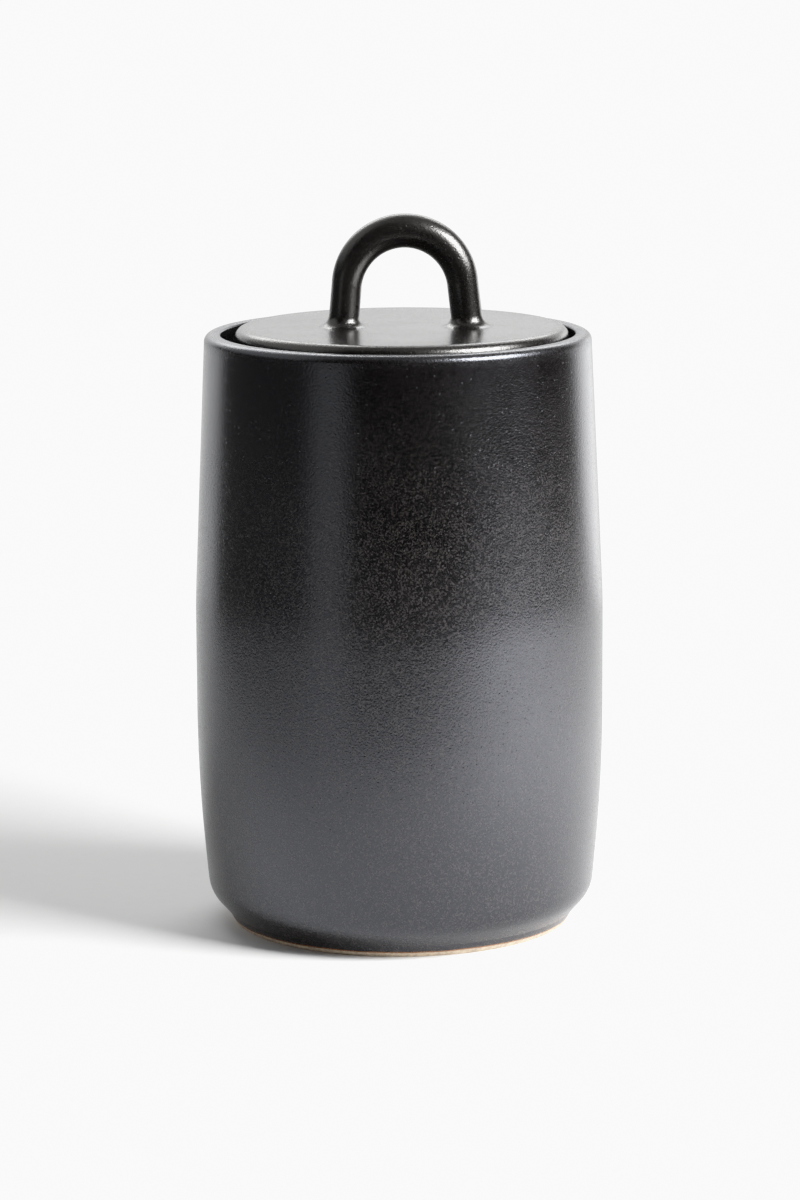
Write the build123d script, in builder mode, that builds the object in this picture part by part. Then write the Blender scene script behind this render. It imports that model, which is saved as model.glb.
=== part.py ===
"""Lidded stoneware storage jar, in millimetres.

The jar stands on its foot ring at z = 0 with its axis on Z.  The lid drops into the mouth and
rests on a soft flat ring, which lies on a ledge inside the rim.  The lid's loop handle lies in
the XZ plane.
"""

import os
from math import cos, radians, sin

from build123d import *

# ---------------------------------------------------------------- body
belly_radius = 60.0  # straight band round the middle
body_height = 175.0  # foot to the crest of the rim
wall = 4.7  # thickness of the thrown wall, and of the rim
floor_thickness = 6.5

belly_base = 42.8  # where the lower wall would meet the straight band
belly_top = 96.1  # where the upper wall would meet the straight band
rim_inset = 3.5  # how far the upper wall leans in by the rim
heel_inset = 3.1  # how far the lower wall leans in by the heel
heel_height = 9.4
tuck_inset = 8.4  # the heel tucks in this far to meet the foot
tuck_height = 3.5
foot_inset = 10.4
foot_width = 6.5  # standing width of the foot ring
foot_recess = 2.4  # the base is hollowed this far inside the ring

lower_curve = 445.0
upper_curve = 285.0
heel_curve = 9.6
tuck_curve = 0.9
rim_outer_curve = 2.1
rim_inner_curve = 0.75
edge_curve = 0.8  # foot, ledge and plug corners worn round
inner_heel_curve = 14.0

# ---------------------------------------------------------------- lid
lid_gap = 3.1  # open gap between the lid and the rim, all round
lid_rise = 1.7  # the lid stands this far above the rim
lid_thickness = 7.0
lid_edge_curve = 2.6
ledge_width = 6.6  # the ledge reaches this far in from the mouth
ledge_thickness = 6.0
ledge_slope = 7.0  # height over which the ledge runs out into the wall
ledge_nose_curve = 0.4
ledge_root_curve = 2.4  # where the slope meets the inner wall

plug_clearance = 1.3  # plug to throat
plug_depth = 9.0
plug_wall = 6.0
plug_curve = 2.5
plug_root_curve = 0.3  # corner between the plug and the lid's underside

# ---------------------------------------------------------------- seal
seal_thickness = 1.6
seal_inset = 0.8  # the ring stops this far inside the lid's edge
seal_clearance = 0.15  # ring to plug
seal_edge_curve = 0.5

# ---------------------------------------------------------------- handle
loop_radius = 17.0  # centre line of the arch
loop_rise = 10.9  # centre of the arch above the lid
leg_splay = 5.0  # degrees that each leg leans out towards its root
leg_thickness = 8.5
crown_thickness = 9.95
lute_width = 2.0  # clay worked out round each root
lute_height = 2.4
root_depth = 1.5  # how far the sweep starts below the lid before it is trimmed flat

# ---------------------------------------------------------------- fits that follow
rim_radius = belly_radius - rim_inset
mouth_radius = rim_radius - wall
throat_radius = mouth_radius - ledge_width
inner_rim_radius = rim_radius - wall
lid_top = body_height + lid_rise
lid_seat = lid_top - lid_thickness
lid_radius = mouth_radius - lid_gap
ledge_level = lid_seat - seal_thickness
throat_foot = ledge_level - ledge_thickness
foot_radius = belly_radius - foot_inset
plug_radius = throat_radius - plug_clearance

os.makedirs("parts", exist_ok=True)


# ---------------------------------------------------------------- jar body
with BuildPart() as jar_body:
    with BuildSketch(Plane.XZ):
        with BuildLine():
            outside = FilletPolyline(
                (foot_radius - foot_width, 0),
                (foot_radius, 0),
                (belly_radius - tuck_inset, tuck_height),
                (belly_radius - heel_inset, heel_height),
                (belly_radius, belly_base),
                (belly_radius, belly_top),
                (rim_radius, body_height),
                (mouth_radius, body_height),
                (mouth_radius, ledge_level),
                (throat_radius, ledge_level),
                (throat_radius, throat_foot),
                (inner_rim_radius, throat_foot - ledge_slope),
                (belly_radius - wall, belly_top),
                (belly_radius - wall, belly_base),
                (belly_radius - heel_inset - wall, floor_thickness),
                (0, floor_thickness),
                radius=[
                    edge_curve,
                    tuck_curve,
                    heel_curve,
                    lower_curve,
                    upper_curve,
                    rim_outer_curve,
                    rim_inner_curve,
                    edge_curve,
                    ledge_nose_curve,
                    edge_curve,
                    ledge_root_curve,
                    upper_curve,
                    lower_curve,
                    inner_heel_curve,
                ],
            )
            Polyline(
                outside @ 1,
                (0, foot_recess),
                (foot_radius - foot_width - foot_recess, foot_recess),
                outside @ 0,
            )
        make_face()
    revolve(axis=Axis.Z)
jar_body.part.label = "jar_body"
export_step(jar_body.part, "parts/jar_body.step")


# ---------------------------------------------------------------- lid
with BuildPart() as lid:
    with BuildSketch(Plane.XZ):
        with BuildLine():
            skirt = FilletPolyline(
                (0, lid_top),
                (lid_radius, lid_top),
                (lid_radius, lid_seat),
                (plug_radius, lid_seat),
                (plug_radius, lid_seat - plug_depth),
                (plug_radius - plug_wall, lid_seat - plug_depth),
                (plug_radius - plug_wall, lid_seat),
                (0, lid_seat),
                radius=[lid_edge_curve, edge_curve, plug_root_curve, edge_curve, edge_curve, plug_curve],
            )
            Line(skirt @ 1, skirt @ 0)
        make_face()
    revolve(axis=Axis.Z)
lid.part.label = "lid"
export_step(lid.part, "parts/lid.step")


# ---------------------------------------------------------------- seal
with BuildPart() as lid_seal:
    with BuildSketch(Plane.XZ) as seal_section:
        with BuildLine():
            Polyline(
                (plug_radius + seal_clearance, ledge_level),
                (lid_radius - seal_inset, ledge_level),
                (lid_radius - seal_inset, lid_seat),
                (plug_radius + seal_clearance, lid_seat),
                close=True,
            )
        make_face()
        fillet(seal_section.vertices(), seal_edge_curve)
    revolve(axis=Axis.Z)
lid_seal.part.label = "lid_seal"
export_step(lid_seal.part, "parts/lid_seal.step")


# ---------------------------------------------------------------- handle
loop_centre = lid_top + loop_rise
splay = radians(leg_splay)
leg_top = (loop_radius * cos(splay), loop_centre + loop_radius * sin(splay))
leg_length = (leg_top[1] - lid_top) / cos(splay)
leg_root = (leg_top[0] + leg_length * sin(splay), lid_top)
sweep_start = (leg_root[0] + root_depth * sin(splay), lid_top - root_depth * cos(splay))
lute_core = leg_thickness / 2 - lute_width  # the worked clay reaches this far into the leg

with BuildPart() as lid_handle:
    with BuildLine(Plane.XZ, mode=Mode.PRIVATE):
        leg = Line(sweep_start, leg_top)
        crown = TangentArc(leg_top, (0, loop_centre + loop_radius), tangent=(-sin(splay), cos(splay)))
    with BuildSketch(Plane(leg @ 0, x_dir=(0, 1, 0), z_dir=leg % 0)):
        Circle(leg_thickness / 2)
    sweep(path=leg)
    with BuildSketch(Plane(crown @ 0, x_dir=(0, 1, 0), z_dir=crown % 0)):
        Circle(leg_thickness / 2)
    with BuildSketch(Plane(crown @ 1, x_dir=(0, 1, 0), z_dir=crown % 1)):
        Circle(crown_thickness / 2)
    sweep(path=crown, multisection=True)

    # clay worked out round the root, turned about the leg's own axis
    root_axis = Axis((leg_root[0], 0, leg_root[1]), leg % 0)
    with BuildSketch(Plane(root_axis.position, x_dir=(0, 1, 0), z_dir=Vector(0, 1, 0).cross(leg % 0))):
        with BuildLine():
            worked = RadiusArc(
                (leg_thickness / 2 + lute_width, 0), (leg_thickness / 2, lute_height), lute_height * 1.1
            )
            Polyline(
                worked @ 1,
                (lute_core, lute_height),
                (lute_core, -root_depth),
                (leg_thickness / 2 + lute_width, -root_depth),
                worked @ 0,
            )
        make_face()
    revolve(axis=root_axis)
    split(bisect_by=Plane.XY.offset(lid_top), keep=Keep.TOP)
    mirror(about=Plane.YZ)
lid_handle.part.label = "lid_handle"
export_step(lid_handle.part, "parts/lid_handle.step")
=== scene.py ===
"""Looks of a lidded stoneware jar: fine meshes, fired-glaze finishes, studio and camera.

The jar's own lengths are in millimetres and become metres when a mesh is made.  The studio's
lengths are in metres.
"""

import logging
from dataclasses import dataclass, field, replace
from enum import Enum

import bpy
import numpy as np
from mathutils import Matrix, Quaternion, Vector


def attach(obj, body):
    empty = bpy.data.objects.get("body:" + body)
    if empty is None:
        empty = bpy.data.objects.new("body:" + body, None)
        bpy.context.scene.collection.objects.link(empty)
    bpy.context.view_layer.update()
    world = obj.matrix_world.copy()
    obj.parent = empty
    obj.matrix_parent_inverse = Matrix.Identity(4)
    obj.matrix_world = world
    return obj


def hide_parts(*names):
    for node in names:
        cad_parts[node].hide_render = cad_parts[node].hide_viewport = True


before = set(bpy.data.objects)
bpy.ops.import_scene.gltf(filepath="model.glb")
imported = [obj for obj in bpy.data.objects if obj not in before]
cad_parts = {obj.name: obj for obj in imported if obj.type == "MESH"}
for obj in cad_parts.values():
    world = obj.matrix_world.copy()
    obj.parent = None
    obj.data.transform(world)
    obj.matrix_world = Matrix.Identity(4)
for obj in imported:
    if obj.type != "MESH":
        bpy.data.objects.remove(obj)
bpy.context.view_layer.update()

MM = 0.001
LOG = logging.getLogger("stoneware_jar")


# ------------------------------------------------------------------ names
class Body(Enum):
    """The rigid bodies that pieces ride on."""

    JAR = "jar"
    SEAL = "seal"
    LID = "lid"


class Slot(Enum):
    """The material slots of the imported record."""

    BODY = "body_glaze"
    LID = "lid_glaze"
    HANDLE = "handle_glaze"
    SEAL = "seal_silicone"


# ------------------------------------------------------------------ mesh maths
def rounded_outline(
    corners: np.ndarray, radii: np.ndarray, spacing: float, turn_step: float = 0.14
) -> tuple[np.ndarray, np.ndarray]:
    """Round the inner corners of an open outline and sample it evenly.

    Each corner is replaced by the circular arc that is tangent to both of its sides, and the
    straight stretches between arcs are divided into equal steps no longer than the spacing.

    Args:
        corners: (n, 2) outline corners in order, the first and last staying sharp.
        radii: (n - 2,) fillet radius of each inner corner.
        spacing: longest step along a straight stretch or a large arc.
        turn_step: largest turn in radians between two samples of an arc.

    Returns:
        (m, 2) points, and (m,) signed curvature at each point, positive where it turns left.
    """
    before, at, after = corners[:-2], corners[1:-1], corners[2:]
    back = (before - at) / np.linalg.norm(before - at, axis=1, keepdims=True)
    ahead = (after - at) / np.linalg.norm(after - at, axis=1, keepdims=True)
    opening = np.arccos(np.clip((back * ahead).sum(1), -1.0, 1.0))
    reach = radii / np.tan(opening / 2.0)
    starts = at + back * reach[:, None]
    ends = at + ahead * reach[:, None]
    middle = (back + ahead) / np.linalg.norm(back + ahead, axis=1, keepdims=True)
    centres = at + middle * (radii / np.sin(opening / 2.0))[:, None]
    side = np.sign(ahead[:, 0] * -back[:, 1] + ahead[:, 1] * back[:, 0]) * -1.0
    points, bends = [], []
    last = corners[0]
    for start, end, centre, radius, sign in zip(starts, ends, centres, radii, side):
        count = max(1, int(np.ceil(np.linalg.norm(start - last) / spacing)))
        share = np.arange(count)[:, None] / count
        points.append(last + (start - last) * share)
        bends.append(np.zeros(count))
        angle0 = np.arctan2(*(start - centre)[::-1])
        sweep = (np.arctan2(*(end - centre)[::-1]) - angle0 + np.pi) % (2 * np.pi) - np.pi
        steps = max(
            3, int(np.ceil(abs(sweep) / turn_step)), int(np.ceil(abs(sweep) * radius / spacing))
        )
        turn = angle0 + sweep * np.arange(steps) / steps
        points.append(centre + radius * np.stack([np.cos(turn), np.sin(turn)], 1))
        bends.append(np.full(steps, sign / radius))
        last = end
    count = max(1, int(np.ceil(np.linalg.norm(corners[-1] - last) / spacing)))
    share = np.arange(count + 1)[:, None] / count
    points.append(last + (corners[-1] - last) * share)
    bends.append(np.zeros(count + 1))
    return np.concatenate(points), np.concatenate(bends)


def along(points: np.ndarray) -> np.ndarray:
    """Return the running length of a polyline at each of its points."""
    return np.concatenate([[0.0], np.cumsum(np.linalg.norm(np.diff(points, axis=0), axis=1))])


def spread(values: np.ndarray, points: np.ndarray, width: float) -> np.ndarray:
    """Blur values along an outline with a bell curve of the given width.

    Args:
        values: (m,) numbers to blur.
        points: (m, 2) outline that they belong to.
        width: standard deviation of the bell, in the outline's units.

    Returns:
        (m,) blurred values.
    """
    length = along(points)
    weight = np.gradient(length)
    bell = np.exp(-0.5 * ((length[:, None] - length[None, :]) / width) ** 2) * weight[None, :]
    return (bell @ values) / bell.sum(1)


def ring_quads(rows: int, columns: int, wrap: bool) -> np.ndarray:
    """Corner indices of the quads of a grid whose columns close into rings.

    Args:
        rows: number of rings.
        columns: number of points on a ring.
        wrap: True if the last ring also joins the first.

    Returns:
        (n, 4) indices, going along the ring and then down to the next.
    """
    last = rows if wrap else rows - 1
    row, column = np.meshgrid(np.arange(last), np.arange(columns), indexing="ij")
    beside, below = (column + 1) % columns, (row + 1) % rows
    upper, lower = row * columns, below * columns
    quads = [upper + column, upper + beside, lower + beside, lower + column]
    return np.stack(quads, -1).reshape(-1, 4)


def pole_fan(first: int, columns: int, pole: int) -> np.ndarray:
    """Corner indices of the triangles that join a ring of vertices to one pole vertex.

    Args:
        first: index of the ring's first vertex.
        columns: number of vertices on the ring.
        pole: index of the pole vertex.

    Returns:
        (n, 3) indices.
    """
    ring = first + np.arange(columns)
    beside = first + (np.arange(columns) + 1) % columns
    return np.stack([np.full(columns, pole), beside, ring], -1)


@dataclass
class Surface:
    """A closed surface of rings of points, capped by two poles or joined end to end."""

    rings: np.ndarray
    poles: np.ndarray | None = None
    attributes: dict[str, np.ndarray] = field(default_factory=dict)

    def normals(self) -> np.ndarray:
        """Vertex normals: the cross product of the differences across and along the rings.

        Returns:
            (n, 3) unit normals, the poles' taken from the mean slope of their fans.
        """
        rings = self.rings
        if self.poles is None:
            down = np.roll(rings, -1, axis=0) - np.roll(rings, 1, axis=0)
        else:
            down = np.gradient(rings, axis=0)
        across = np.roll(rings, -1, axis=1) - np.roll(rings, 1, axis=1)
        normal = np.cross(across, down)
        normal /= np.maximum(np.linalg.norm(normal, axis=2, keepdims=True), 1e-12)
        if self.poles is None:
            return normal.reshape(-1, 3)
        ends = []
        for ring, pole, way in ((rings[0], self.poles[0], 1.0), (rings[-1], self.poles[1], -1.0)):
            fan = np.cross(np.roll(ring, -1, axis=0) - pole, ring - pole).sum(0) * way
            ends.append(fan / np.linalg.norm(fan))
        return np.concatenate([normal.reshape(-1, 3), ends])

    def make(self, name: str) -> bpy.types.Object:
        """Make the mesh object, its faces pointing outwards and its normals set by vertex.

        Args:
            name: name of the new object.

        Returns:
            The object, linked into the scene and lying at the origin.
        """
        rows, columns = self.rings.shape[:2]
        normals = self.normals()
        vertices = self.rings.reshape(-1, 3)
        quads = ring_quads(rows, columns, wrap=self.poles is None)
        faces = [quads]
        if self.poles is not None:
            count = rows * columns
            vertices = np.concatenate([vertices, self.poles])
            faces.append(pole_fan(0, columns, count))
            faces.append(pole_fan((rows - 1) * columns, columns, count + 1)[:, ::-1])
        a, b, c, d = (vertices[quads[:, k]] for k in range(4))
        if (a * (np.cross(b, c) + np.cross(c, d))).sum() < 0.0:
            faces = [part[:, ::-1] for part in faces]
            normals = -normals

        mesh = bpy.data.meshes.new(name)
        loops = np.concatenate([part.ravel() for part in faces])
        totals = np.concatenate([np.full(len(part), part.shape[1]) for part in faces])
        mesh.vertices.add(len(vertices))
        mesh.vertices.foreach_set("co", (vertices * MM).astype(np.float32).ravel())
        mesh.loops.add(len(loops))
        mesh.loops.foreach_set("vertex_index", loops.astype(np.int32))
        mesh.polygons.add(len(totals))
        mesh.polygons.foreach_set("loop_start", (np.cumsum(totals) - totals).astype(np.int32))
        mesh.polygons.foreach_set("loop_total", totals.astype(np.int32))
        mesh.update(calc_edges=True)
        mesh.polygons.foreach_set("use_smooth", np.ones(len(totals), bool))
        for key, values in self.attributes.items():
            at_points = np.repeat(values, columns)
            if self.poles is not None:
                at_points = np.concatenate([at_points, values[[0, -1]]])
            layer = mesh.attributes.new(key, "FLOAT", "POINT")
            layer.data.foreach_set("value", at_points.astype(np.float32))
        mesh.normals_split_custom_set_from_vertices(normals.astype(np.float32))
        mesh.validate()
        piece = bpy.data.objects.new(name, mesh)
        bpy.context.scene.collection.objects.link(piece)
        return piece


def waver(angle: np.ndarray, height: np.ndarray, size: float, seed: float) -> np.ndarray:
    """Slow unevenness of a hand-finished wall, as a sum of a few sine waves.

    Each wave runs a whole number of times round the wall and drifts with height, so the surface
    closes on itself.

    Args:
        angle: angle round the axis, in radians.
        height: height, in millimetres, of the same shape or broadcastable.
        size: largest offset, in millimetres.
        seed: phase that makes one wall differ from another.

    Returns:
        Offsets of the broadcast shape, in millimetres.
    """
    total = (
        0.45 * np.sin(2 * angle + 0.011 * height + seed)
        + 0.25 * np.sin(3 * angle - 0.023 * height + 1.7 * seed)
        + 0.18 * np.sin(5 * angle + 0.045 * height + 2.9 * seed)
        + 0.12 * np.sin(0.21 * height + 1.3 * np.sin(angle + seed))
    )
    return size * total


def turned(profile: np.ndarray, columns: int, size: float, seed: float, shift: float) -> Surface:
    """Turn a profile about the upright axis, with a little unevenness.

    A point at radius r, height z and angle a goes to ((r + w) cos a + shift, (r + w) sin a, z),
    where w is the waver, faded out within a few centimetres of the axis.

    Args:
        profile: (m, 2) radius and height, starting and ending on the axis.
        columns: number of points round the axis.
        size: largest waver, in millimetres.
        seed: phase of the waver.
        shift: how far the axis lies from x = 0, in millimetres.

    Returns:
        The turned surface, with no attributes.
    """
    fade = 30.0
    angle = np.arange(columns) / columns * 2 * np.pi
    rings = profile[1:-1]
    uneven = waver(angle[None], rings[:, 1:], size, seed)
    radius = rings[:, :1] + uneven * np.clip(rings[:, :1] / fade, 0, 1)
    points = np.stack(
        [
            radius * np.cos(angle) + shift,
            radius * np.sin(angle),
            np.broadcast_to(rings[:, 1:], radius.shape),
        ],
        -1,
    )
    poles = np.array([[shift, 0.0, profile[0, 1]], [shift, 0.0, profile[-1, 1]]])
    return Surface(points, poles)


# ------------------------------------------------------------------ shader helpers
Colour = tuple[float, float, float]


class Tree:
    """A thin wrapper that adds and links shader nodes by name."""

    def __init__(self, tree: bpy.types.NodeTree) -> None:
        """Keep the node tree that the calls below add to."""
        self.tree = tree

    def add(self, kind: str, **settings: object) -> bpy.types.Node:
        """Add a node and set its properties.

        Args:
            kind: node type, such as "ShaderNodeMath".
            settings: properties of the node, by name.

        Returns:
            The new node.
        """
        node = self.tree.nodes.new(kind)
        for key, value in settings.items():
            setattr(node, key, value)
        return node

    def feed(self, node: bpy.types.Node, **inputs: object) -> bpy.types.Node:
        """Set or link a node's inputs by name, with underscores for spaces, or by number as i0, i1.

        Args:
            node: node whose inputs are set.
            inputs: a number, a tuple or an output socket for each input.

        Returns:
            The same node.
        """
        for key, value in inputs.items():
            name = key.replace("_", " ")
            index = int(name[1:]) if name[0] == "i" and name[1:].isdigit() else name
            socket = node.inputs[index]
            if isinstance(value, bpy.types.NodeSocket):
                self.tree.links.new(value, socket)
            else:
                socket.default_value = value
        return node

    def maths(
        self, operation: str, a: object, b: object = 0.0, clamp: bool = False
    ) -> bpy.types.NodeSocket:
        """Return the output of a Math node on two values or sockets."""
        node = self.feed(self.add("ShaderNodeMath", operation=operation, use_clamp=clamp), i0=a, i1=b)
        return node.outputs[0]

    def ranged(
        self, value: object, low: object, high: object, to_low: float = 0.0, to_high: float = 1.0
    ) -> bpy.types.NodeSocket:
        """Carry a value smoothly from one span on to another.

        Args:
            value: value or socket to carry.
            low: start of its span.
            high: end of its span.
            to_low: result at the start of the span and before it.
            to_high: result at the end of the span and past it.

        Returns:
            The socket of the result.
        """
        node = self.add("ShaderNodeMapRange", interpolation_type="SMOOTHSTEP")
        self.feed(node, Value=value, From_Min=low, From_Max=high, To_Min=to_low, To_Max=to_high)
        return node.outputs["Result"]

    def blend(self, factor: object, a: object, b: object) -> bpy.types.NodeSocket:
        """Mix two colours.

        Args:
            factor: share of the second colour.
            a: first colour, as four numbers or a socket.
            b: second colour.

        Returns:
            The socket of the mixed colour.
        """
        node = self.add("ShaderNodeMix", data_type="RGBA")
        self.feed(node, i0=factor, i6=a, i7=b)
        return node.outputs[2]

    def noise(
        self, vector: object, scale: object, detail: float, rough: float = 0.5
    ) -> bpy.types.NodeSocket:
        """Add a noise pattern.

        Args:
            vector: coordinates.
            scale: features to the metre.
            detail: number of finer layers on top of the first.
            rough: strength of each layer against the one before.

        Returns:
            The socket of its value.
        """
        node = self.add("ShaderNodeTexNoise")
        self.feed(node, Vector=vector, Scale=scale, Detail=detail, Roughness=rough)
        return node.outputs["Fac"]

    def product(self, *factors: object) -> bpy.types.NodeSocket:
        """Multiply values together.

        Args:
            factors: two or more values or sockets.

        Returns:
            The socket of the product.
        """
        total = factors[0]
        for factor in factors[1:]:
            total = self.maths("MULTIPLY", total, factor)
        return total

    def height(self, vector: object) -> bpy.types.NodeSocket:
        """Return the upright part of a vector."""
        return self.feed(self.add("ShaderNodeSeparateXYZ"), Vector=vector).outputs["Z"]

    def bump(self, height: bpy.types.NodeSocket) -> bpy.types.NodeSocket:
        """Return the normal that a height in millimetres gives."""
        node = self.feed(self.add("ShaderNodeBump"), Strength=1.0, Distance=MM, Height=height)
        return node.outputs["Normal"]

    def shade(self, **inputs: object) -> None:
        """Set a Principled shader's inputs by name and put it out as the surface."""
        shader = self.feed(self.add("ShaderNodeBsdfPrincipled"), **inputs)
        self.feed(self.add("ShaderNodeOutputMaterial"), Surface=shader.outputs["BSDF"])


class GroupBuilder:
    """Makes a shader node group with named inputs and outputs, once."""

    def __init__(
        self, name: str, inputs: dict[str, tuple[str, object]], outputs: dict[str, str]
    ) -> None:
        """Make the group and its sockets.

        Args:
            name: name of the group.
            inputs: socket kind and default value by input name.
            outputs: socket kind by output name.
        """
        self.group = bpy.data.node_groups.new(name, "ShaderNodeTree")
        for key, (kind, value) in inputs.items():
            socket = self.group.interface.new_socket(name=key, in_out="INPUT", socket_type=kind)
            if value is not None:
                socket.default_value = value
        for key, kind in outputs.items():
            self.group.interface.new_socket(name=key, in_out="OUTPUT", socket_type=kind)
        self.tree = Tree(self.group)
        self.given = self.tree.add("NodeGroupInput").outputs
        self.made = self.tree.add("NodeGroupOutput")

    def put(self, **outputs: bpy.types.NodeSocket) -> bpy.types.NodeTree:
        """Link the group's outputs by name and return the group."""
        self.tree.feed(self.made, **outputs)
        return self.group


def fired_grain() -> bpy.types.NodeTree:
    """Group: the fine pebbled skin of a fired matt glaze.

    The height, in millimetres, is a fine noise, plus a round bead at the middle of some cells of
    a cell pattern, less a round pit at the middle of a few cells of a coarser one.

    Returns:
        The node group, which puts out the height and the mask of the pits.
    """
    made = GroupBuilder(
        "fired_grain",
        {
            "Vector": ("NodeSocketVector", None),
            "Grains per Metre": ("NodeSocketFloat", 900.0),
            "Grain Height": ("NodeSocketFloat", 0.05),
            "Bead Height": ("NodeSocketFloat", 0.03),
            "Pit Depth": ("NodeSocketFloat", 0.06),
            "Pit Share": ("NodeSocketFloat", 0.3),
        },
        {"Height": "NodeSocketFloat", "Pit": "NodeSocketFloat"},
    )
    tree, given = made.tree, made.given

    def spots(scale: bpy.types.NodeSocket, share: object, wide: float) -> bpy.types.NodeSocket:
        """Make a pattern of round spots, one in the middle of some cells.

        Args:
            scale: cells to the metre.
            share: share of the cells that hold a spot.
            wide: radius of a spot, as a share of a cell.

        Returns:
            A mask from 0 to 1.
        """
        cells = tree.feed(tree.add("ShaderNodeTexVoronoi"), Vector=given["Vector"], Scale=scale)
        chance = tree.feed(tree.add("ShaderNodeSeparateColor"), Color=cells.outputs["Color"])
        some = tree.maths("GREATER_THAN", share, chance.outputs["Red"])
        return tree.product(some, tree.ranged(cells.outputs["Distance"], 0.0, wide, 1.0, 0.0))

    bead_share, bead_width = 0.55, 0.42
    pit_rate, pit_width = 0.45, 0.30
    fine = tree.noise(given["Vector"], given["Grains per Metre"], 1.0, 0.5)
    bead = spots(given["Grains per Metre"], bead_share, bead_width)
    pit = spots(tree.product(given["Grains per Metre"], pit_rate), given["Pit Share"], pit_width)
    skin = tree.product(fine, given["Grain Height"])
    raised = tree.maths("ADD", skin, tree.product(bead, given["Bead Height"]))
    height = tree.maths("SUBTRACT", raised, tree.product(pit, given["Pit Depth"]))
    return made.put(Height=height, Pit=pit)


def kiln_mottle() -> bpy.types.NodeTree:
    """Group: cloudy variation of a fired glaze, as a colour between two and a value.

    Returns:
        The node group.
    """
    made = GroupBuilder(
        "kiln_mottle",
        {
            "Vector": ("NodeSocketVector", None),
            "Clouds per Metre": ("NodeSocketFloat", 40.0),
            "Dark": ("NodeSocketColor", (0.01, 0.01, 0.01, 1.0)),
            "Pale": ("NodeSocketColor", (0.03, 0.03, 0.03, 1.0)),
        },
        {"Color": "NodeSocketColor", "Value": "NodeSocketFloat"},
    )
    tree, given = made.tree, made.given
    flecks_per_cloud, cloud_share = 22.0, 0.6
    cloud = tree.noise(given["Vector"], given["Clouds per Metre"], 4.0, 0.55)
    flecks = tree.product(given["Clouds per Metre"], flecks_per_cloud)
    fleck = tree.noise(given["Vector"], flecks, 2.0, 0.6)
    mixed = tree.maths("ADD", tree.product(cloud, cloud_share), tree.product(fleck, 1.0 - cloud_share))
    value = tree.ranged(mixed, 0.36, 0.64)
    return made.put(Color=tree.blend(value, given["Dark"], given["Pale"]), Value=value)


def edge_break() -> bpy.types.NodeTree:
    """Group: where glaze has run thin over an edge, as a ragged mask from the edge attribute.

    Returns:
        The node group.
    """
    made = GroupBuilder(
        "edge_break",
        {
            "Vector": ("NodeSocketVector", None),
            "Edge": ("NodeSocketFloat", 0.0),
            "Amount": ("NodeSocketFloat", 0.5),
        },
        {"Mask": "NodeSocketFloat"},
    )
    tree, given = made.tree, made.given
    rags_per_metre = 420.0
    ragged = tree.noise(given["Vector"], rags_per_metre, 3.0, 0.6)
    worn = tree.product(given["Edge"], tree.ranged(ragged, 0.3, 0.7))
    return made.put(Mask=tree.maths("MULTIPLY", worn, given["Amount"], clamp=True))


class Effects:
    """The node groups that the finishes share, each built once."""

    def __init__(self) -> None:
        """Build the groups."""
        self.grain = fired_grain()
        self.mottle = kiln_mottle()
        self.edge = edge_break()

    def place(self, tree: Tree, group: bpy.types.NodeTree, **inputs: object) -> bpy.types.Node:
        """Place a group in a material and set its inputs.

        Args:
            tree: tree of the material.
            group: one of the groups above.
            inputs: values or sockets by input name, with underscores for spaces.

        Returns:
            The group node.
        """
        node = tree.add("ShaderNodeGroup", node_tree=group)
        return tree.feed(node, **inputs)


# ------------------------------------------------------------------ finishes
def fresh_material(name: str) -> tuple[bpy.types.Material, Tree, bpy.types.NodeSocket]:
    """Start an empty node material.

    Args:
        name: name of the material.

    Returns:
        The material, its tree and its object coordinates.
    """
    material = bpy.data.materials.new(name)
    material.use_nodes = True
    material.node_tree.nodes.clear()
    tree = Tree(material.node_tree)
    return material, tree, tree.add("ShaderNodeTexCoord").outputs["Object"]


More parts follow.
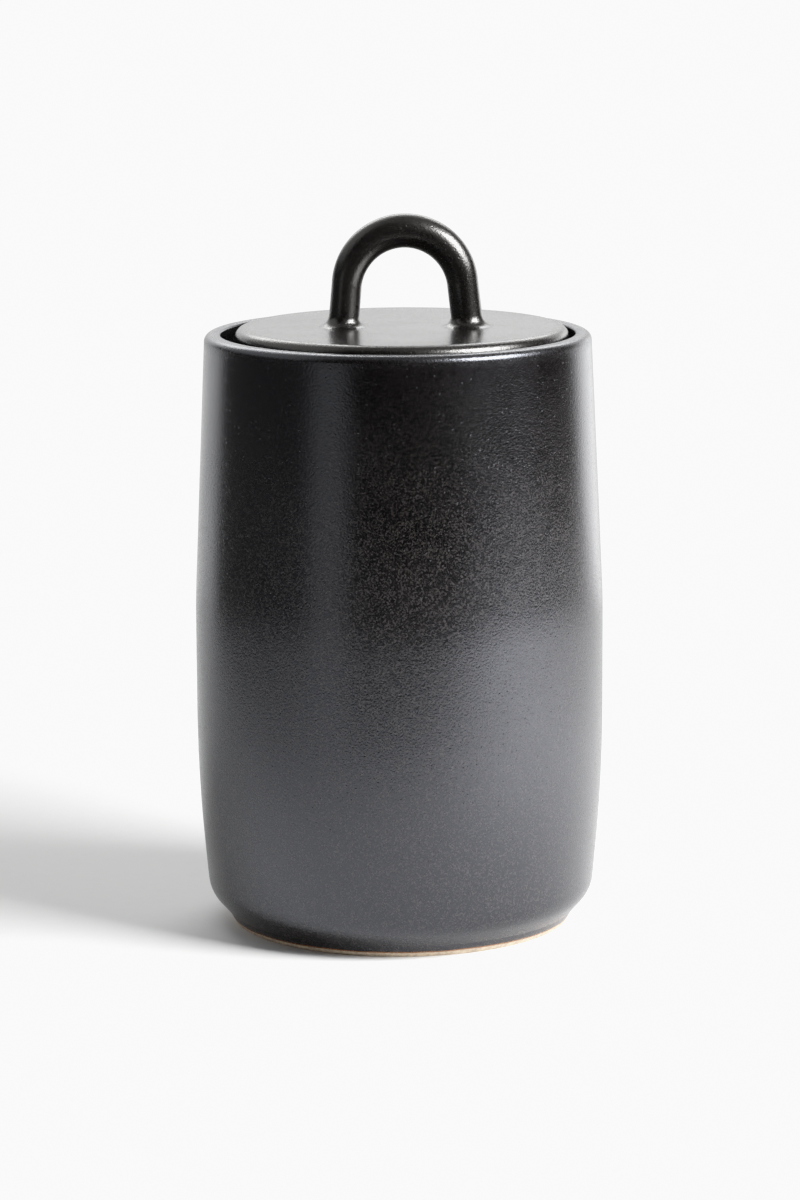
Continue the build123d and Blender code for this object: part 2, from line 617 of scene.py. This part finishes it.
@dataclass(frozen=True)
class GlazeFinish:
    """Satin-matte black glaze over stoneware, with bare clay where the clay attribute says.

    Colours are linear.  Scales count features to the metre, and heights are in millimetres.
    """

    name: str
    dark: Colour = (0.0012, 0.0009, 0.0008)
    pale: Colour = (0.0030, 0.0024, 0.0022)
    # pale colour painted on the matt crystals: a painted glint, standing in for light caught by their tiny
    # facets
    glint_speck: Colour = (0.032, 0.027, 0.0245)
    broken: Colour = (0.030, 0.022, 0.017)
    sheen: Colour = (0.86, 0.89, 1.0)
    rough_low: float = 0.18
    rough_high: float = 0.22
    ior: float = 1.78
    grains: float = 1750.0
    grain_height: float = 0.050
    bead_height: float = 0.016
    pit_depth: float = 0.05
    pit_share: float = 0.22
    pit_rough: float = 0.08
    specks: float = 3000.0
    speck_span: tuple[float, float] = (0.52, 0.98)
    speck_rough: float = 0.11
    # fewer crystals towards the rim: smoother glaze there, and fewer painted glints, so the upper body
    # stays darker
    smooth_few_glints_above: tuple[float, float] = (112.0, 170.0)
    smooth_glint_share: float = 0.20
    edge_amount: float = 0.12
    edge_rough: float = 0.14
    clay: Colour = (0.78, 0.62, 0.45)
    clay_shade: float = 0.62
    clay_flecks: float = 900.0
    clay_sand: float = 0.15
    clay_rough: float = 0.55
    clay_span: tuple[float, float] = (0.46, 0.54)
    fringe: Colour = (0.30, 0.13, 0.045)
    fringe_span: tuple[float, float] = (0.22, 0.40)
    drips: float = 60.0
    drip_size: float = 0.28

    def crystal_glints(self, tree: Tree, place: bpy.types.NodeSocket) -> bpy.types.NodeSocket:
        """Mask the matt crystals, which are made rougher and painted pale as painted glints: a chance value
        in each cell, fewer of them towards the rim.

        Args:
            tree: tree of the material.
            place: object coordinates.

        Returns:
            A mask from 0 to 1.
        """
        cells = tree.feed(tree.add("ShaderNodeTexVoronoi"), Vector=place, Scale=self.specks)
        chance = tree.feed(tree.add("ShaderNodeSeparateColor"), Color=cells.outputs["Color"]).outputs["Red"]
        low, high = self.smooth_few_glints_above
        amount = tree.ranged(tree.height(place), low * MM, high * MM, 1.0, self.smooth_glint_share)
        return tree.product(tree.ranged(chance, *self.speck_span), amount)

    def make(self, effects: Effects) -> bpy.types.Material:
        """Build the material.

        Args:
            effects: the shared node groups.

        Returns:
            The new material.
        """
        material, tree, place = fresh_material(self.name)
        edge = tree.add("ShaderNodeAttribute", attribute_name="edge").outputs["Fac"]
        bare = tree.add("ShaderNodeAttribute", attribute_name="clay").outputs["Fac"]

        grain = effects.place(
            tree,
            effects.grain,
            Vector=place,
            Grains_per_Metre=self.grains,
            Grain_Height=self.grain_height,
            Bead_Height=self.bead_height,
            Pit_Depth=self.pit_depth,
            Pit_Share=self.pit_share,
        )
        mottle = effects.place(
            tree, effects.mottle, Vector=place, Dark=(*self.dark, 1.0), Pale=(*self.pale, 1.0)
        )
        worn = effects.place(tree, effects.edge, Vector=place, Edge=edge, Amount=self.edge_amount)

        drip = tree.maths("SUBTRACT", tree.noise(place, self.drips, 3.0, 0.6), 0.5)
        line = tree.maths("ADD", bare, tree.product(drip, self.drip_size))
        clay_mask = tree.ranged(line, *self.clay_span)
        fringe_mask = tree.ranged(line, *self.fringe_span)

        clay_fleck = tree.noise(place, self.clay_flecks, 3.0, 0.7)
        clay_dark = tuple(self.clay_shade * part for part in self.clay)
        clay_colour = tree.blend(tree.ranged(clay_fleck, 0.35, 0.7), (*self.clay, 1.0), (*clay_dark, 1.0))
        glaze = tree.blend(worn.outputs["Mask"], mottle.outputs["Color"], (*self.broken, 1.0))
        crystal_glint = self.crystal_glints(tree, place)
        # painted glints: the crystals take the pale speck colour
        glaze = tree.blend(crystal_glint, glaze, (*self.glint_speck, 1.0))
        glaze = tree.blend(fringe_mask, glaze, (*self.fringe, 1.0))
        colour = tree.blend(clay_mask, glaze, clay_colour)

        rough = tree.ranged(mottle.outputs["Value"], 0.0, 1.0, self.rough_low, self.rough_high)
        for mask, more in (
            (grain.outputs["Pit"], self.pit_rough),
            (crystal_glint, self.speck_rough),
            (edge, self.edge_rough),
            (clay_mask, self.clay_rough),
        ):
            rough = tree.maths("ADD", rough, tree.product(mask, more), clamp=True)

        sandy = tree.product(clay_mask, clay_fleck, self.clay_sand)
        tree.shade(
            Base_Color=colour,
            Roughness=rough,
            IOR=self.ior,
            Specular_Tint=(*self.sheen, 1.0),
            Normal=tree.bump(tree.maths("ADD", grain.outputs["Height"], sandy)),
        )
        return material


@dataclass(frozen=True)
class SiliconeFinish:
    """Soft grey silicone with a faint bloom of dust."""

    name: str = "soft_grey_silicone"
    clean: Colour = (0.55, 0.55, 0.53)
    dusty: Colour = (0.68, 0.67, 0.64)
    clouds: float = 110.0
    grains: float = 2600.0
    grain_height: float = 0.01
    rough: tuple[float, float] = (0.42, 0.62)
    ior: float = 1.41

    def make(self, effects: Effects) -> bpy.types.Material:
        """Build the material.

        Args:
            effects: the shared node groups.

        Returns:
            The new material.
        """
        material, tree, place = fresh_material(self.name)
        mottle = effects.place(
            tree,
            effects.mottle,
            Vector=place,
            Clouds_per_Metre=self.clouds,
            Dark=(*self.clean, 1.0),
            Pale=(*self.dusty, 1.0),
        )
        grain = effects.place(
            tree,
            effects.grain,
            Vector=place,
            Grains_per_Metre=self.grains,
            Grain_Height=self.grain_height,
            Bead_Height=0.0,
            Pit_Depth=0.0,
        )
        tree.shade(
            Base_Color=mottle.outputs["Color"],
            Roughness=tree.ranged(mottle.outputs["Value"], 0.0, 1.0, *self.rough),
            IOR=self.ior,
            Normal=tree.bump(grain.outputs["Height"]),
        )
        return material


@dataclass(frozen=True)
class TableFinish:
    """Plain matt white table top; where a glaze mirrors it, its left side is painted darker, a painted
    shade for the weaker light there.
    """

    name: str = "matt_white_table"
    shade: Colour = (0.86, 0.86, 0.855)
    tint: Colour = (0.84, 0.842, 0.84)
    clouds: float = 9.0
    # painted shade: how much of the colour the left side keeps, seen only in reflections
    reflected_shade_left: float = 0.81
    mirrored_right: float = 1.0
    mirrored_span: tuple[float, float] = (0.02, 0.30)
    rough: float = 0.9
    ior: float = 1.3

    def make(self, effects: Effects) -> bpy.types.Material:
        """Build the material.

        Args:
            effects: the shared node groups.

        Returns:
            The new material.
        """
        material, tree, place = fresh_material(self.name)
        mottle = effects.place(
            tree,
            effects.mottle,
            Vector=place,
            Clouds_per_Metre=self.clouds,
            Dark=(*self.tint, 1.0),
            Pale=(*self.shade, 1.0),
        )
        across = tree.feed(tree.add("ShaderNodeSeparateXYZ"), Vector=place).outputs["X"]
        share = tree.ranged(across, *self.mirrored_span, self.reflected_shade_left, self.mirrored_right)
        # painted shade in reflections: glossy rays see the left side dimmed
        mirrored = tree.add("ShaderNodeLightPath").outputs["Is Glossy Ray"]
        reflected_shade = tree.blend(share, (0.0, 0.0, 0.0, 1.0), mottle.outputs["Color"])
        colour = tree.blend(mirrored, mottle.outputs["Color"], reflected_shade)
        tree.shade(Base_Color=colour, Roughness=self.rough, IOR=self.ior)
        return material


# ------------------------------------------------------------------ pieces
def worn_edges(outline: np.ndarray, bends: np.ndarray, outward: float) -> np.ndarray:
    """Mark where an outline turns sharply outwards, blurred a little along it.

    Args:
        outline: (m, 2) outline.
        bends: (m,) signed curvature.
        outward: +1 or -1, the sign of curvature at an outer edge.

    Returns:
        (m,) mask from 0 to 1.
    """
    gain, blur = 1.2, 0.35
    sharp = np.clip(bends * outward * gain, 0.0, 1.0)
    return spread(sharp, outline, blur)


@dataclass
class JarBody:
    """The glazed stoneware jar: foot, heel, belly band, rim and the ledge inside the mouth."""

    belly_radius: float = 60.0
    height: float = 175.0
    wall: float = 4.7
    floor: float = 6.5
    belly_base: float = 42.8
    belly_top: float = 96.1
    rim_inset: float = 3.5
    heel_inset: float = 3.1
    heel_height: float = 9.4
    tuck_inset: float = 8.4
    tuck_height: float = 3.5
    foot_inset: float = 10.4
    foot_width: float = 6.5
    recess: float = 2.4
    lid_rise: float = 1.7
    lid_thickness: float = 7.0
    seal_thickness: float = 1.6
    ledge_width: float = 6.6
    ledge_thickness: float = 6.0
    ledge_slope: float = 7.0
    recess_curve: float = 1.0
    foot_inner_curve: float = 0.5
    foot_curve: float = 0.55
    tuck_curve: float = 0.9
    heel_curve: float = 9.6
    lower_curve: float = 445.0
    upper_curve: float = 285.0
    rim_outer_curve: float = 2.3
    rim_inner_curve: float = 0.75
    edge_curve: float = 0.8
    ledge_nose_curve: float = 0.4
    ledge_root_curve: float = 2.4
    inner_heel_curve: float = 14.0
    bare_height: float = 1.4
    bare_fade: float = 1.6
    worn_above: float = 8.0
    waver: float = 0.06
    step: float = 2.2
    columns: int = 320

    @property
    def mouth(self) -> float:
        """Radius of the mouth at the rim."""
        return self.belly_radius - self.rim_inset - self.wall

    @property
    def throat(self) -> float:
        """Radius of the opening inside the ledge."""
        return self.mouth - self.ledge_width

    @property
    def lid_top(self) -> float:
        """Height of the top of the closed lid."""
        return self.height + self.lid_rise

    @property
    def ledge(self) -> float:
        """Height of the ledge that the ring lies on."""
        return self.lid_top - self.lid_thickness - self.seal_thickness

    def outline(self) -> tuple[np.ndarray, np.ndarray]:
        """Section of the jar from the middle of its base round to the middle of its floor.

        Returns:
            (m, 2) radius and height, and (m,) signed curvature.
        """
        belly, rim = self.belly_radius, self.belly_radius - self.rim_inset
        foot = belly - self.foot_inset
        inner = belly - self.wall
        low = self.ledge - self.ledge_thickness
        corners = [
            (0.0, self.recess, 0.0),
            (foot - self.foot_width - self.recess, self.recess, self.recess_curve),
            (foot - self.foot_width, 0.0, self.foot_inner_curve),
            (foot, 0.0, self.foot_curve),
            (belly - self.tuck_inset, self.tuck_height, self.tuck_curve),
            (belly - self.heel_inset, self.heel_height, self.heel_curve),
            (belly, self.belly_base, self.lower_curve),
            (belly, self.belly_top, self.upper_curve),
            (rim, self.height, self.rim_outer_curve),
            (self.mouth, self.height, self.rim_inner_curve),
            (self.mouth, self.ledge, self.edge_curve),
            (self.throat, self.ledge, self.ledge_nose_curve),
            (self.throat, low, self.edge_curve),
            (rim - self.wall, low - self.ledge_slope, self.ledge_root_curve),
            (inner, self.belly_top, self.upper_curve),
            (inner, self.belly_base, self.lower_curve),
            (inner - self.heel_inset, self.floor, self.inner_heel_curve),
            (0.0, self.floor, 0.0),
        ]
        table = np.array(corners)
        return rounded_outline(table[:, :2], table[1:-1, 2], self.step)

    def build(self) -> bpy.types.Object:
        """Make the jar's mesh.

        Returns:
            The jar, with the attributes edge and clay.
        """
        outline, bends = self.outline()
        surface = turned(outline, self.columns, self.waver, seed=0.7, shift=0.0)
        length = along(outline)
        from_foot = np.hypot(outline[:, 0] - self.belly_radius + self.foot_inset, outline[:, 1])
        rise = np.where(length > length[np.argmin(from_foot)], outline[:, 1], 0.0)
        clay = np.clip(0.5 + (self.bare_height - rise) / self.bare_fade, 0.0, 1.0)
        clay[length > length[np.argmax(outline[:, 1] > self.heel_height)]] = 0.0
        edge = worn_edges(outline, bends, outward=1.0)
        edge[outline[:, 1] < self.worn_above] = 0.0
        surface.attributes = {"edge": edge[1:-1], "clay": clay[1:-1]}
        return surface.make("jar_body_glazed")

    def dress(self, piece: bpy.types.Object, finish: GlazeFinish, effects: Effects) -> None:
        """Give the jar its glaze and put it on its body.

        Args:
            piece: what build made.
            finish: the finish to wear.
            effects: the shared node groups.
        """
        piece.data.materials.append(finish.make(effects))
        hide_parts("jar_body")
        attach(piece, Body.JAR.value)


@dataclass
class Lid:
    """The flat drop-in lid: a disc with a softened edge over a hollow plug."""

    jar: JarBody
    gap: float = 3.1
    plug_clearance: float = 1.5
    plug_depth: float = 9.0
    plug_wall: float = 6.0
    shift: float = 1.15
    top_curve: float = 2.8
    edge_curve: float = 0.8
    plug_root_curve: float = 0.3
    plug_curve: float = 2.5
    bare_fade: float = 1.4
    waver: float = 0.05
    step: float = 1.6
    columns: int = 384

    @property
    def radius(self) -> float:
        """Radius of the lid's edge."""
        return self.jar.mouth - self.gap

    @property
    def plug_radius(self) -> float:
        """Radius of the plug under the lid."""
        return self.jar.throat - self.plug_clearance

    def outline(self) -> tuple[np.ndarray, np.ndarray]:
        """Section of the lid from the middle of its top, round the plug, to the middle beneath.

        Returns:
            (m, 2) radius and height, and (m,) signed curvature.
        """
        top = self.jar.lid_top
        seat = top - self.jar.lid_thickness
        foot = seat - self.plug_depth
        corners = [
            (0.0, top, 0.0),
            (self.radius, top, self.top_curve),
            (self.radius, seat, self.edge_curve),
            (self.plug_radius, seat, self.plug_root_curve),
            (self.plug_radius, foot, self.edge_curve),
            (self.plug_radius - self.plug_wall, foot, self.edge_curve),
            (self.plug_radius - self.plug_wall, seat, self.plug_curve),
            (0.0, seat, 0.0),
        ]
        table = np.array(corners)
        return rounded_outline(table[:, :2], table[1:-1, 2], self.step)

    def build(self) -> bpy.types.Object:
        """Make the lid's mesh.

        Returns:
            The lid, with the attributes edge and clay.
        """
        outline, bends = self.outline()
        surface = turned(outline, self.columns, self.waver, seed=2.3, shift=self.shift)
        clay = np.clip(1.0 - (outline[:, 1] - outline[:, 1].min()) / self.bare_fade, 0.0, 1.0)
        edge = worn_edges(outline, bends, outward=-1.0)
        surface.attributes = {"edge": edge[1:-1], "clay": clay[1:-1]}
        return surface.make("lid_glazed")

    def dress(self, piece: bpy.types.Object, finish: GlazeFinish, effects: Effects) -> None:
        """Give the lid its glaze and put it on its body.

        Args:
            piece: what build made.
            finish: the finish to wear.
            effects: the shared node groups.
        """
        piece.data.materials.append(finish.make(effects))
        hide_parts("lid")
        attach(piece, Body.LID.value)


@dataclass
class LoopHandle:
    """The loop handle: a clay rod bent by hand into an arch and worked into the lid at its roots."""

    lid: Lid
    arch_radius: float = 17.0
    arch_rise: float = 10.9
    left_splay: float = 5.0
    right_splay: float = 6.5
    leg: float = 8.7
    crown: float = 9.95
    right_leg_extra: float = 0.35
    lute_width: float = 3.3
    lute_height: float = 3.4
    aside: float = 0.95
    sink: float = 0.05
    tipping: float = 2.2
    waver: float = 0.05
    waver_fade: float = 6.0
    crowding: float = 0.055
    rows: int = 300
    columns: int = 96

    @property
    def shift(self) -> float:
        """How far the handle stands from x = 0: a little to the right of the lid's middle."""
        return self.lid.shift + self.aside

    @property
    def lid_top(self) -> float:
        """Height of the lid's top, which the roots stand on."""
        return self.lid.jar.lid_top

    def centre_line(self) -> tuple[np.ndarray, np.ndarray, np.ndarray]:
        """Follow the middle of the rod from the left root over the arch to the right root.

        The legs are straight, each leans in by its own splay, and the arch is the circle that
        is tangent to both.  The points stand closer together at the roots and the crown.

        Returns:
            (m, 3) points, (m, 3) unit tangents, and (m,) turn from the crown in radians.
        """
        centre = self.lid_top + self.arch_rise
        left, right = np.radians(self.left_splay), np.radians(self.right_splay)
        turn_left, turn_right = left - np.pi / 2, np.pi / 2 - right
        arc_left, arc_right = -turn_left * self.arch_radius, turn_right * self.arch_radius
        leg_left = (self.arch_rise + self.arch_radius * np.sin(left)) / np.cos(left)
        leg_right = (self.arch_rise + self.arch_radius * np.sin(right)) / np.cos(right)
        share = np.linspace(0.0, 1.0, self.rows)
        crowd = share - self.crowding * np.sin(4 * np.pi * share) / (2 * np.pi)
        run = crowd * (leg_left + arc_left + arc_right + leg_right) - leg_left - arc_left
        turn = np.clip(run / self.arch_radius, turn_left, turn_right)
        away = run - turn * self.arch_radius
        x = self.arch_radius * np.sin(turn) + away * np.cos(turn)
        z = centre + self.arch_radius * np.cos(turn) - away * np.sin(turn)
        points = np.stack([x, np.zeros_like(x), z], -1)
        tangents = np.stack([np.cos(turn), np.zeros_like(x), -np.sin(turn)], -1)
        return points, tangents, turn

    def build(self) -> bpy.types.Object:
        """Make the handle's mesh.

        A ring of points is carried along the centre line.  Its radius grows to the crown, and
        flares by a quarter ellipse where the clay is worked out at the root.  Near the root the
        rings tip from square to the rod to flat on the lid.

        Returns:
            The handle, with the attributes edge and clay.
        """
        points, tangents, turn = self.centre_line()
        angle = np.arange(self.columns) / self.columns * 2 * np.pi
        above = points[:, 2] - self.lid_top
        level = np.clip(1.0 - above / (self.tipping * self.lute_height), 0.0, 1.0)
        level = (level * level * (3 - 2 * level))[:, None]
        upright = np.sign(turn)[:, None] * np.array([[0.0, 0.0, -1.0]])
        normal = tangents * (1 - level) + upright * level
        normal /= np.linalg.norm(normal, axis=1, keepdims=True)
        depth = np.array([[0.0, 1.0, 0.0]])
        side = np.cross(depth, normal)
        low = np.clip(1.0 - above / self.lute_height, 0.0, 1.0)
        flare = self.lute_width * (1.0 - np.sqrt(np.clip(1.0 - low**2, 0.0, 1.0)))
        rise = 1.0 - (turn / (np.pi / 2)) ** 2
        swell = self.right_leg_extra / 2 * np.clip(turn / (np.pi / 2), 0.0, 1.0)
        radius = self.leg / 2 + (self.crown - self.leg) / 2 * rise + swell + flare
        wave = np.sin(3 * angle[None] + 0.13 * above[:, None])
        uneven = self.waver * wave * np.clip(above[:, None] / self.waver_fade, 0, 1)
        reach = (radius[:, None] + uneven)[..., None]
        across = reach * np.cos(angle)[None, :, None] * side[:, None, :]
        rings = points[:, None, :] + across + reach * np.sin(angle)[None, :, None] * depth[:, None, :]
        rings[..., 0] += self.shift
        foot = self.lid_top - self.sink
        rings[..., 2] = np.maximum(rings[..., 2] - self.sink * level, foot)
        poles = points[[0, -1]] * np.array([[1.0, 1.0, 0.0]]) + np.array([[self.shift, 0.0, foot]])
        plain = np.zeros(self.rows)
        return Surface(rings, poles, {"edge": plain, "clay": plain}).make("lid_handle_glazed")

    def dress(self, piece: bpy.types.Object, finish: GlazeFinish, effects: Effects) -> None:
        """Give the handle its glaze and put it on the lid's body.

        Args:
            piece: what build made.
            finish: the finish to wear.
            effects: the shared node groups.
        """
        piece.data.materials.append(finish.make(effects))
        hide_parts("lid_handle")
        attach(piece, Body.LID.value)


@dataclass
class SealRing:
    """The flat silicone ring between the lid and the ledge."""

    jar: JarBody
    lid: Lid
    overhang: float = 0.1
    inset: float = 1.1
    rows: int = 28
    columns: int = 256

    def build(self) -> bpy.types.Object:
        """Make the ring: a rounded oblong section carried round the axis.

        The section is a superellipse of power 4 in radius and height.

        Returns:
            The ring, as a closed tube.
        """
        turn = np.arange(self.rows)[:, None] / self.rows * 2 * np.pi
        inner, outer = self.jar.throat - self.overhang, self.lid.radius - self.inset
        middle, half = (inner + outer) / 2, (outer - inner) / 2
        thickness = self.jar.seal_thickness
        out = np.sign(np.cos(turn)) * np.sqrt(np.abs(np.cos(turn)))
        up = np.sign(np.sin(turn)) * np.sqrt(np.abs(np.sin(turn)))
        wide = middle + half * out
        high = self.jar.ledge + thickness / 2 * (1 + up)
        angle = np.arange(self.columns)[None, :] / self.columns * 2 * np.pi
        points = [wide * np.cos(angle), wide * np.sin(angle), high + 0.0 * angle]
        return Surface(np.stack(points, -1)).make("lid_seal_silicone")

    def dress(self, piece: bpy.types.Object, finish: SiliconeFinish, effects: Effects) -> None:
        """Give the ring its finish and put it on its body.

        Args:
            piece: what build made.
            finish: the finish to wear.
            effects: the shared node groups.
        """
        piece.data.materials.append(finish.make(effects))
        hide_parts("lid_seal")
        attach(piece, Body.SEAL.value)


# ------------------------------------------------------------------ studio
@dataclass(frozen=True)
class SoftLight:
    """An oblong soft light that looks at a point; its places and sizes are in metres."""

    name: str
    place: tuple[float, float, float]
    aim: tuple[float, float, float]
    size: tuple[float, float]
    radiance: float
    spread: float

    def make(self) -> bpy.types.Object:
        """Make the light; its power is radiance times area times pi.

        Returns:
            The light object.
        """
        lamp = bpy.data.lights.new(self.name, "AREA")
        lamp.shape = "RECTANGLE"
        lamp.size, lamp.size_y = self.size
        lamp.energy = self.radiance * self.size[0] * self.size[1] * np.pi
        lamp.spread = np.radians(self.spread)
        light = bpy.data.objects.new(self.name, lamp)
        light.visible_camera = False
        bpy.context.scene.collection.objects.link(light)
        light.location = self.place
        light.rotation_mode = "QUATERNION"
        light.rotation_quaternion = (Vector(self.aim) - Vector(self.place)).to_track_quat("-Z", "Y")
        return light


@dataclass(frozen=True)
class Card:
    """A stretch of the room that is brighter than the rest, with soft ends.

    Bearings are in degrees, 0 in front of the jar and 90 to its right; rises are degrees above
    the horizon.
    """

    bearing: tuple[float, float]
    rise: tuple[float, float]
    radiance: float
    ends: float = 6.0
    lips: float = 6.0

    def mask(
        self, tree: Tree, bearing: bpy.types.NodeSocket, rise: bpy.types.NodeSocket
    ) -> bpy.types.NodeSocket:
        """Work out how bright the card is in a direction.

        Each of the four sides is a smooth step, and the four are multiplied together.

        Args:
            tree: tree of the room.
            bearing: bearing of the direction, in degrees.
            rise: rise of the direction, in degrees.

        Returns:
            The card's radiance in that direction.
        """
        left, right = self.bearing
        low, high = self.rise
        end, lip = self.ends / 2, self.lips / 2
        inside = tree.product(
            tree.ranged(bearing, left - end, left + end),
            tree.ranged(bearing, right - end, right + end, 1.0, 0.0),
        )
        between = tree.product(
            tree.ranged(rise, low - lip, low + lip),
            tree.ranged(rise, high - lip, high + lip, 1.0, 0.0),
        )
        return tree.product(inside, between, self.radiance)


@dataclass
class Studio:
    """White table top, one soft key light, white behind the jar and a dark room in front."""

    front: float = 0.43
    left: float = 0.46
    right: float = 0.90
    back: float = 0.50
    steps: int = 23
    lights: tuple[SoftLight, ...] = (
        SoftLight("key_soft_light", (0.58, -0.295, 0.55), (0.24, -0.06, 0.0), (0.44, 0.44), 9.5, 105.0),
        SoftLight("back_wash_light", (-0.1, 1.0, 0.8), (-0.1, 0.55, 0.0), (1.2, 0.3), 2.4, 110.0),
    )
    paper: float = 0.952
    knee: float = 0.96
    backdrop: float = 1.02
    cards: tuple[Card, ...] = (
        Card((-200.0, -128.0), (-30.0, 4.0), 0.92, ends=14.0),  # white wall, left half
        Card((125.0, 200.0), (-30.0, 4.0), 0.95, ends=12.0),  # white wall, right half
        Card((-200.0, -140.0), (4.0, 60.0), 1.08, ends=14.0),  # the wall above, left half
        Card((140.0, 200.0), (4.0, 60.0), 1.15, ends=12.0),  # the wall above, right half
        Card((133.0, 162.0), (-30.0, 12.0), 1.25, ends=14.0),  # lit patch of the wall
        Card((-51.0, -30.0), (-30.0, 1.0), 0.44, ends=8.0, lips=4.0),  # tall panel, front left
        Card((-135.0, -50.0), (-30.0, 0.0), 0.08),  # dim side of the room
        Card((-35.0, 90.0), (-30.0, -4.0), 0.03),  # dark front of the room
        Card((38.0, 80.0), (-30.0, -4.0), 0.14, ends=20.0, lips=4.0),  # glow beside the key light
        Card((-165.0, -60.0), (15.0, 62.0), 0.50, ends=20.0, lips=14.0),  # pale wall high on the left
        Card((-200.0, 200.0), (62.0, 100.0), 0.20),  # ceiling
    )

    def table(self, effects: Effects) -> bpy.types.Object:
        """Lay the table top as a flat grid of quads.

        Args:
            effects: the shared node groups.

        Returns:
            The table top.
        """
        side = self.steps + 1
        across = np.linspace(-self.left, self.right, side)
        deep = np.linspace(-self.front, self.back, side)
        x, y = np.meshgrid(across, deep, indexing="ij")
        points = np.stack([x, y, np.zeros_like(x)], -1).reshape(-1, 3)
        row, column = np.meshgrid(np.arange(self.steps), np.arange(self.steps), indexing="ij")
        first = (row * side + column).ravel()
        quads = np.stack([first, first + side, first + side + 1, first + 1], -1)
        mesh = bpy.data.meshes.new("table_top")
        mesh.from_pydata(points.tolist(), [], quads.tolist())
        mesh.materials.append(TableFinish().make(effects))
        top = bpy.data.objects.new("table_top", mesh)
        bpy.context.scene.collection.objects.link(top)
        return top

    def world(self) -> None:
        """Light the room with the cards, and show the lens a plain white behind everything."""
        world = bpy.data.worlds.new("room")
        bpy.context.scene.world = world
        world.use_nodes = True
        world.node_tree.nodes.clear()
        tree = Tree(world.node_tree)
        way = tree.add("ShaderNodeTexCoord").outputs["Generated"]
        part = tree.feed(tree.add("ShaderNodeSeparateXYZ"), Vector=way)
        front = tree.product(part.outputs["Y"], -1.0)
        bearing = tree.maths("DEGREES", tree.maths("ARCTAN2", part.outputs["X"], front))
        rise = tree.maths("DEGREES", tree.maths("ARCSINE", part.outputs["Z"]))
        total = self.cards[0].mask(tree, bearing, rise)
        for card in self.cards[1:]:
            total = tree.maths("ADD", total, card.mask(tree, bearing, rise))
        white = (1.0, 1.0, 1.0, 1.0)
        room = tree.feed(tree.add("ShaderNodeBackground"), Color=white, Strength=total)
        plain = tree.feed(tree.add("ShaderNodeBackground"), Color=white, Strength=self.backdrop)
        seen = tree.add("ShaderNodeLightPath").outputs["Is Camera Ray"]
        mix = tree.add("ShaderNodeMixShader")
        tree.feed(mix, i0=seen, i1=room.outputs["Background"], i2=plain.outputs["Background"])
        tree.feed(tree.add("ShaderNodeOutputWorld"), Surface=mix.outputs["Shader"])

    def tone(self) -> None:
        """Set a plain tone curve whose white stops just short of pure white."""
        view = bpy.context.scene.view_settings
        view.view_transform = "Standard"
        view.look = "None"
        view.use_curve_mapping = True
        mapping = view.curve_mapping
        mapping.extend = "HORIZONTAL"
        curve = mapping.curves[3]
        curve.points[1].location = (1.0, self.paper)
        curve.points.new(self.paper * self.knee, self.paper * self.knee)
        mapping.update()

    def build(self, effects: Effects) -> None:
        """Set the table, the room, the lights and the tone.

        Args:
            effects: the shared node groups.
        """
        self.table(effects)
        self.world()
        for light in self.lights:
            light.make()
        self.tone()


@dataclass
class Lens:
    """The camera: a long lens well above the rim, looking down on the jar.

    Places are in metres, angles in radians, and the lens and the film in millimetres.
    """

    distance: float = 1.278
    height: float = 0.3345
    aside: float = 0.0002
    down: float = 0.185
    roll: float = -0.0056
    focal: float = 132.12
    film: float = 36.0
    far: float = 30.0

    def make(self) -> bpy.types.Object:
        """Make the camera and hand it to the scene.

        Returns:
            The camera.
        """
        camera = bpy.data.objects.new("camera", bpy.data.cameras.new("camera"))
        camera.data.lens = self.focal
        camera.data.sensor_width = self.film
        camera.data.clip_end = self.far
        camera.location = (self.aside, -self.distance, self.height)
        camera.rotation_mode = "QUATERNION"
        tilt = Quaternion((1.0, 0.0, 0.0), np.pi / 2 - self.down)
        camera.rotation_quaternion = tilt @ Quaternion((0.0, 0.0, 1.0), self.roll)
        bpy.context.scene.collection.objects.link(camera)
        bpy.context.scene.camera = camera
        return camera


# ------------------------------------------------------------------ making
def main() -> None:
    """Build the studio and then every piece of the jar, in order, and log each one."""
    logging.basicConfig(level=logging.INFO, format="%(name)s: %(message)s")
    Lens().make()
    effects = Effects()
    Studio().build(effects)
    jar = JarBody()
    lid = Lid(jar)
    jar_glaze = GlazeFinish("jar_body_satin_glaze")
    lid_glaze = GlazeFinish("lid_satin_glaze", sheen=(1.0, 0.98, 0.955))
    handle_glaze = replace(
        lid_glaze, name="handle_satin_glaze", rough_low=0.26, rough_high=0.31, edge_amount=0.0
    )
    makers = (
        (jar, jar_glaze),
        (lid, lid_glaze),
        (LoopHandle(lid), handle_glaze),
        (SealRing(jar, lid), SiliconeFinish()),
    )
    for maker, finish in makers:
        piece = maker.build()
        maker.dress(piece, finish, effects)
        LOG.info("%s: %d faces", piece.name, len(piece.data.polygons))


if __name__ == "__main__":
    main()
